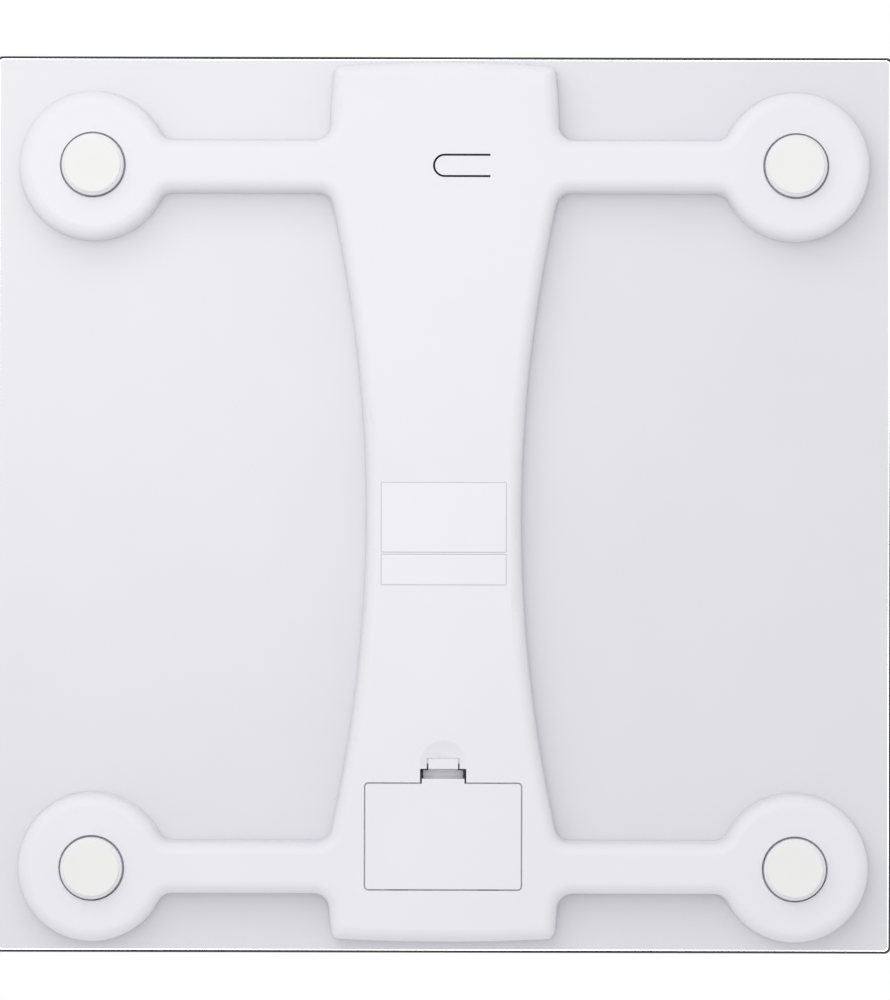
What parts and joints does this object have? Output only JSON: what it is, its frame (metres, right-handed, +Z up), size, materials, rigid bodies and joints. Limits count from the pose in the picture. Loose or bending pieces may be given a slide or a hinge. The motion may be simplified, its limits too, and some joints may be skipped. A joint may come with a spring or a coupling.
{
  "type": "digital bathroom scale",
  "caption": "Square glass-topped digital bathroom scale on a waisted white moulded base with sprung corner feet, battery door and unit button underneath.",
  "frame": {"origin": "on the floor plane under the middle of the glass platter, at the bottom of the standing feet", "axes": "+Z up through the glass, +Y towards the display end, +X to the right of a person standing on the scale and looking at the display"},
  "size_m": [0.3, 0.3, 0.0236],
  "materials": {
    "tempered_glass": "polished clear tempered soda-lime glass, chamfered and polished edges",
    "back_enamel": "pale grey ceramic enamel, screen printed on the back of the glass",
    "silicone_bond": "cured translucent silicone adhesive",
    "white_abs": "injection moulded white ABS, fine satin texture",
    "nickel_steel": "nickel plated spring steel, stamped and bent",
    "circuit_laminate": "glass-epoxy laminate under green solder mask",
    "zinc_screw": "zinc plated self-tapping steel",
    "lcd_glass": "liquid crystal panel, polariser face",
    "holder_plastic": "moulded white ABS",
    "zebra_rubber": "layered conductive silicone",
    "chip_resin": "black epoxy resin, cured glossy",
    "switch_plastic": "moulded black nylon",
    "plunger_plastic": "moulded acetal",
    "red_wire": "soft PVC insulation",
    "black_wire": "soft PVC insulation",
    "blank_label": "satin white polyester sticker, unprinted",
    "battery_can": "metallic jacket with one plain blue-grey band, unprinted, steel ends bare",
    "foot_rubber": "soft white thermoplastic rubber, fine matt texture",
    "cell_steel": "stamped and ground alloy steel",
    "bearing_plastic": "moulded nylon",
    "grey_lead": "soft PVC ribbon lead"
  },
  "bodies": {
    "platform": {"glass_platter": "tempered_glass", "platter_print": "back_enamel", "bond_bead": "silicone_bond", "base_housing": "white_abs", "positive_terminal": "nickel_steel", "negative_terminal": "nickel_steel", "link_contact_left": "nickel_steel", "link_contact_right": "nickel_steel", "main_board": "circuit_laminate", "board_screws": "zinc_screw", "display_panel": "lcd_glass", "display_holder": "holder_plastic", "zebra_strip_front": "zebra_rubber", "zebra_strip_rear": "zebra_rubber", "controller_chip": "chip_resin", "unit_switch": "switch_plastic", "battery_wire_red": "red_wire", "battery_wire_black": "black_wire", "rating_label": "blank_label", "rating_label_foot": "blank_label", "battery_1": "battery_can", "battery_2": "battery_can", "battery_3": "battery_can", "bearing_block_front_left": "bearing_plastic", "cell_lead_front_left": "grey_lead", "bearing_block_front_right": "bearing_plastic", "cell_lead_front_right": "grey_lead", "bearing_block_rear_left": "bearing_plastic", "cell_lead_rear_left": "grey_lead", "bearing_block_rear_right": "bearing_plastic", "cell_lead_rear_right": "grey_lead"},
    "battery_door": {"battery_door": "white_abs"},
    "door_latch": {"door_latch": "white_abs"},
    "unit_button": {"unit_button": "white_abs"},
    "switch_plunger": {"switch_plunger": "plunger_plastic"},
    "foot_front_left": {"foot_cup_front_left": "white_abs", "foot_pad_front_left": "foot_rubber", "load_cell_front_left": "cell_steel"},
    "foot_front_right": {"foot_cup_front_right": "white_abs", "foot_pad_front_right": "foot_rubber", "load_cell_front_right": "cell_steel"},
    "foot_rear_left": {"foot_cup_rear_left": "white_abs", "foot_pad_rear_left": "foot_rubber", "load_cell_rear_left": "cell_steel"},
    "foot_rear_right": {"foot_cup_rear_right": "white_abs", "foot_pad_rear_right": "foot_rubber", "load_cell_rear_right": "cell_steel"}
  },
  "joints": [
    {"name": "battery_door_hinge", "type": "hinge", "parent": "platform", "child": "battery_door", "pos_m": [0, -0.1285, 0.0045], "axis": [-1, 0, 0], "range_deg": [0, 60]},
    {"name": "door_latch_flex", "type": "hinge", "parent": "battery_door", "child": "door_latch", "pos_m": [0, -0.08735, 0.00945], "axis": [-1, 0, 0], "range_deg": [0, 14], "stiffness_Nm_per_rad": 0.17},
    {"name": "unit_button_flex", "type": "hinge", "parent": "platform", "child": "unit_button", "pos_m": [-0.0153, 0.11315, 0.0065], "axis": [0, -1, 0], "range_deg": [0, 1.9], "stiffness_Nm_per_rad": 1.6},
    {"name": "switch_plunger_travel", "type": "slide", "parent": "platform", "child": "switch_plunger", "axis": [0, 0, 1], "range_m": [0, 0.0004]},
    {"name": "foot_travel_front_left", "type": "slide", "parent": "platform", "child": "foot_front_left", "axis": [0, 0, 1], "range_m": [-0.0005, 0]},
    {"name": "foot_travel_front_right", "type": "slide", "parent": "platform", "child": "foot_front_right", "axis": [0, 0, 1], "range_m": [-0.0005, 0]},
    {"name": "foot_travel_rear_left", "type": "slide", "parent": "platform", "child": "foot_rear_left", "axis": [0, 0, 1], "range_m": [-0.0005, 0]},
    {"name": "foot_travel_rear_right", "type": "slide", "parent": "platform", "child": "foot_rear_right", "axis": [0, 0, 1], "range_m": [-0.0005, 0]}
  ],
  "couplings": [
    {"joint": "switch_plunger_travel", "follows": "unit_button_flex", "m_per_rad": 0.01206}
  ]
}
